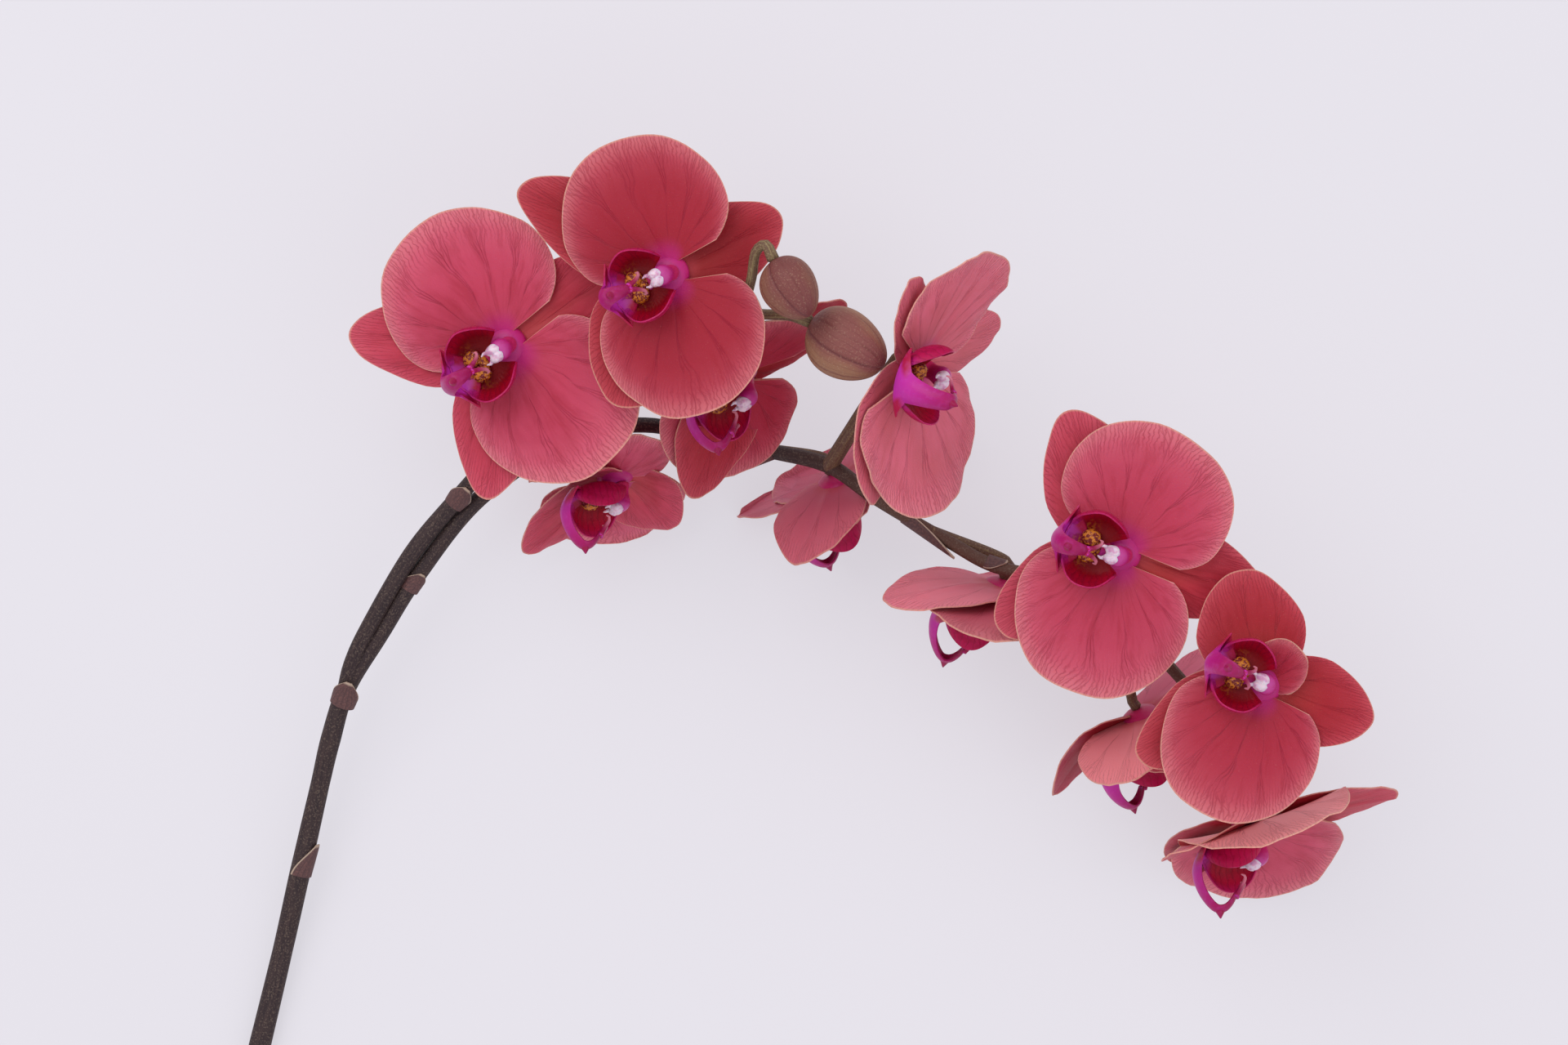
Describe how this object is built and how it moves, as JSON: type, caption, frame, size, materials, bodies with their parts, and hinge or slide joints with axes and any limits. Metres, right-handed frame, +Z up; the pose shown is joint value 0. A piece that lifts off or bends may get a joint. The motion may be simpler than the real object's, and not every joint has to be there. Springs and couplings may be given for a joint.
{
  "type": "moth orchid stem",
  "caption": "Cut, arching moth orchid spray laid on a surface, with flat, broad-petalled open blooms along it and plump closed buds near its middle.",
  "frame": {"origin": "middle of the spray's box, on the surface that the spray lies on", "axes": "+X along the spray from its cut end toward its tip, +Y toward the outer side of its arch, +Z up from the surface"},
  "size_m": [0.367, 0.312, 0.1212],
  "materials": {
    "petal": "soft satin, waxy, veined, with a cream rim",
    "lip": "waxy, crimson inside and magenta outside",
    "column": "waxy, magenta with a pale cap",
    "bud": "satin, striped",
    "stem": "matt, speckled"
  },
  "bodies": {
    "root": {"flower_spike": "stem", "bud_1": "bud", "bud_2": "bud", "bloom_01_tepals": "petal", "bloom_01_lip": "lip", "bloom_01_column": "column", "bloom_02_tepals": "petal", "bloom_02_lip": "lip", "bloom_02_column": "column", "bloom_03_tepals": "petal", "bloom_03_lip": "lip", "bloom_03_column": "column", "bloom_04_tepals": "petal", "bloom_04_lip": "lip", "bloom_04_column": "column", "bloom_05_tepals": "petal", "bloom_05_lip": "lip", "bloom_05_column": "column", "bloom_06_tepals": "petal", "bloom_06_lip": "lip", "bloom_06_column": "column", "bloom_07_tepals": "petal", "bloom_07_lip": "lip", "bloom_07_column": "column", "bloom_08_tepals": "petal", "bloom_08_lip": "lip", "bloom_08_column": "column", "bloom_09_tepals": "petal", "bloom_09_lip": "lip", "bloom_09_column": "column", "bloom_10_tepals": "petal", "bloom_10_lip": "lip", "bloom_10_column": "column", "bloom_11_tepals": "petal", "bloom_11_lip": "lip", "bloom_11_column": "column"}
  },
  "joints": []
}
